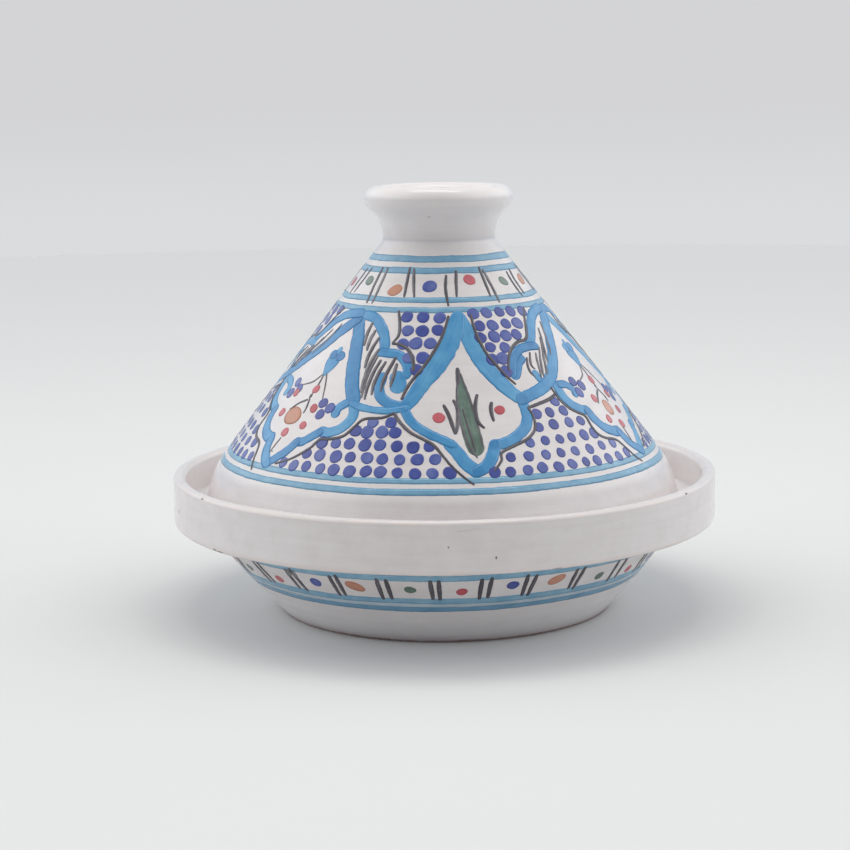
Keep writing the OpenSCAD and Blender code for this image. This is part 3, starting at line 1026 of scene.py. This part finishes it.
# How bright the tent is at the height of the pot, and overhead.
TENT_FRONT, TENT_SIDE, TENT_BACK, TENT_TOP = 0.03, 0.54, 0.74, 0.52
TENT_FLANK = 1.55       # how much brighter it is above the two sides
TENT_LOW_TINT, TENT_TOP_TINT = (0.74, 0.87, 1.0, 1.0), (1.0, 0.992, 0.975, 1.0)
OVERHEAD_W, OVERHEAD_TINT = 4.2, (1.0, 0.995, 0.985)
OVERHEAD_AT, OVERHEAD_SIZE = (0.0, 0.1, 1.3), (0.85, 0.45)


def aim(obj, position, target, roll=0.0):
    """Points an object's -Z at a target, turned about its line of sight by roll degrees."""
    forward = (Vector(target) - Vector(position)).normalized()
    right = forward.cross(Vector((0, 0, 1))).normalized()
    up = right.cross(forward)
    turn = math.radians(roll)
    x = right * math.cos(turn) + up * math.sin(turn)
    y = up * math.cos(turn) - right * math.sin(turn)
    obj.matrix_world = Matrix((x, y, -forward)).transposed().to_4x4()
    obj.location = position


def make_camera():
    data = bpy.data.cameras.new("camera")
    data.sensor_width, data.lens = CAMERA_SENSOR, CAMERA_LENS
    camera = bpy.data.objects.new("camera", data)
    bpy.context.collection.objects.link(camera)
    aim(camera, CAMERA_AT, CAMERA_TARGET, CAMERA_ROLL)
    bpy.context.scene.camera = camera


def disc_faces(sides, rings):
    """Faces between rings of vertices, each ring one step of sides."""
    faces = []
    for i in range(rings - 1):
        a, b = i * sides, (i + 1) * sides
        faces += [(a + j, b + j, b + (j + 1) % sides, a + (j + 1) % sides) for j in range(sides)]
    return faces


def ring_vertices(profile, sides):
    return [(r * math.cos(2 * math.pi * j / sides), r * math.sin(2 * math.pi * j / sides), z)
            for r, z in profile for j in range(sides)]


def floor_paper():
    """Matt white paper with a faint cloudiness and a fine tooth."""
    material, n = new_material("floor_paper")
    where = n.place()
    cloud = n.spread(n.noise(where, 2.5, 2.0), 0.3, 0.7, 0.0, 0.03)
    shade = n.mix(cloud, colour(FLOOR_SHADE), colour("c8cbd0"))
    n.finish(shade, n.spread(n.noise(where, 60.0, 2.0), 0.3, 0.7, 0.8, 0.95),
             n.bump(n.noise(where, 900.0, 2.0), 0.00002))
    return material


def backdrop_paper():
    """Paper that glows, painted light in place of lit paper: level with the far floor at its foot, and
    painted a little darker above.
    """
    material, n = new_material("backdrop_paper")
    where = n.place()
    height = n.add("ShaderNodeSeparateXYZ", {0: where}).outputs[2]
    rise = n.spread(height, 0.0, WALL_FADE, kind="SMOOTHSTEP")
    shade = n.mix(rise, colour(WALL_LOW), colour(WALL_HIGH))
    shade = n.mix(n.spread(n.noise(where, 2.5, 2.0), 0.3, 0.7, 0.0, 0.02), shade, colour("c0c3c8"))
    # the backdrop glows: painted light, with painted shade toward the top
    painted_glow = n.add("ShaderNodeEmission", {"Color": shade})
    n.add("ShaderNodeOutputMaterial", {"Surface": painted_glow.outputs[0]})
    return material


def make_stage():
    """A pale floor, and around it a pale backdrop that only the camera sees, alike from every side."""
    sides, flat, bend, top = 96, 2.4, 1.6, 1.8
    rings = [(0.02 * 1.45 ** i, 0.0) for i in range(13)] + [(flat, 0.0)]
    middle = len(rings) * sides
    floor = add_object("floor", ring_vertices(rings, sides) + [(0.0, 0.0, 0.0)],
                       disc_faces(sides, len(rings)) + [(middle, j, (j + 1) % sides) for j in range(sides)])
    floor.data.materials.append(floor_paper())
    curve_up = [(flat + bend * math.sin(math.radians(a)), bend * (1 - math.cos(math.radians(a))))
                for a in range(0, 91, 6)] + [(flat + bend, top + bend)]
    wall = add_object("backdrop", ring_vertices(curve_up, sides), disc_faces(sides, len(curve_up)))
    wall.data.materials.append(backdrop_paper())
    wall.visible_diffuse = wall.visible_glossy = wall.visible_shadow = False


def softbox(name, position, target, size, power, shade):
    data = bpy.data.lights.new(name, "AREA")
    data.shape, data.size, data.size_y = "RECTANGLE", size[0], size[1]
    data.energy, data.color = power, shade
    light = bpy.data.objects.new(name, data)
    bpy.context.collection.objects.link(light)
    aim(light, position, target)
    light.visible_camera = False


def make_light():
    """A white tent: bright above, softer at the sides, darkest where the photographer stands."""
    world = bpy.data.worlds.new("tent")
    world.use_nodes = True
    n = Nodes(world.node_tree)
    toward = n.add("ShaderNodeSeparateXYZ", {0: n.add("ShaderNodeTexCoord").outputs["Generated"]})
    back, up = toward.outputs[1], toward.outputs[2]
    low = n.spread(back, -0.75, 0.0, TENT_FRONT, TENT_SIDE)
    low = n.blend(n.spread(back, 0.3, 1.0), low, TENT_BACK)
    strength = n.blend(n.spread(up, 0.40, 0.95, kind="SMOOTHSTEP"), low, TENT_TOP)
    sideways = n.spread(n.math("ABSOLUTE", toward.outputs[0]), 0.3, 0.8, 0.0, TENT_FLANK)
    strength = n.math("ADD", strength, n.times(sideways, n.spread(up, 0.05, 0.40)))
    tint = n.mix(n.spread(up, 0.05, 0.70), TENT_LOW_TINT, TENT_TOP_TINT)
    background = n.add("ShaderNodeBackground", {"Color": tint, "Strength": strength})
    n.add("ShaderNodeOutputWorld", {"Surface": background.outputs[0]})
    bpy.context.scene.world = world
    softbox("overhead", OVERHEAD_AT, (0.0, 0.0, 0.1), OVERHEAD_SIZE, OVERHEAD_W, OVERHEAD_TINT)
    bpy.context.scene.view_settings.view_transform = "Standard"


# ---------------------------------------------------------------- the paints
# For each colour: its slot, how it looks thin, full and thick, and how strongly the bristles show.
COLOURS = {
    "ring": ("turquoise_paint", "9cc2d4", "7aa9c5", "578cb0", 0.45),
    "turquoise": ("turquoise_paint", "66a8d0", "4790c3", "2f76ae", 0.35),
    "blue": ("cobalt_paint", "6a78b0", "46549f", "343d84", 0.3),
    "line": ("line_paint", "8c898d", "555159", "38353b", 0.4),
    "red": ("red_paint", "d0717c", "bf555e", "a5404c", 0.25),
    "orange": ("orange_paint", "d9ab94", "cb9077", "b5785c", 0.25),
    "green": ("green_paint", "82968a", "5c7267", "43554c", 0.5),
    "wash": ("turquoise_paint", "d3dbe0", "b9cad5", "9fb8c8", 0.4),
    "smudge": ("line_paint", "a5a5a9", "7e7d83", "5c5b62", 0.4),
    "chip": ("bare_clay", "b3a39d", "8d7a74", "574b48", 0.3),
}


def paint_materials():
    """A material for every colour: (material, slot) by name."""
    made = {}
    for key, (slot, thin, full, thick, streak) in COLOURS.items():
        made[key] = (brushed_paint(key + "_paint", colour(thin), colour(full), colour(thick), streak), slot)
    return made


# ---------------------------------------------------------------- the scene
make_camera()
make_stage()
make_light()

dish_outline = close_up(dish_outside() + dish_rest())
lid_outline = close_up(lid_outside() + lid_rest())
glaze = white_glaze()

dish = turned("glazed_dish", dish_outline, dish_hand, dish_painted_light)
dish.data.materials.append(glaze)
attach(dish, "dish")
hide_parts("dish")

lid = turned("glazed_lid", lid_outline, lid_hand, lid_painted_light)
lid.data.materials.append(glaze)
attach(lid, "lid")
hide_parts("lid")

lid_skin = Skin(lid_outline[:len(close_up(lid_outside()))], lid_hand, LID_Z + 6, NECK_Z - 1)
dish_skin = Skin(dish_outline[:len(close_up(dish_outside()))], dish_hand, 1.5, COLLAR_Z - 4)
collar_skin = Skin(close_up(collar_outside()), dish_hand, COLLAR_Z, DISH_H)

materials = paint_materials()
for body, skin, paint_body in (("lid", lid_skin, paint_lid), ("dish", dish_skin, paint_dish)):
    paints = Paints(body, skin)
    paint_body(paints)
    paints.build(materials)
blemish_collar(collar_skin, materials["chip"], glaze)
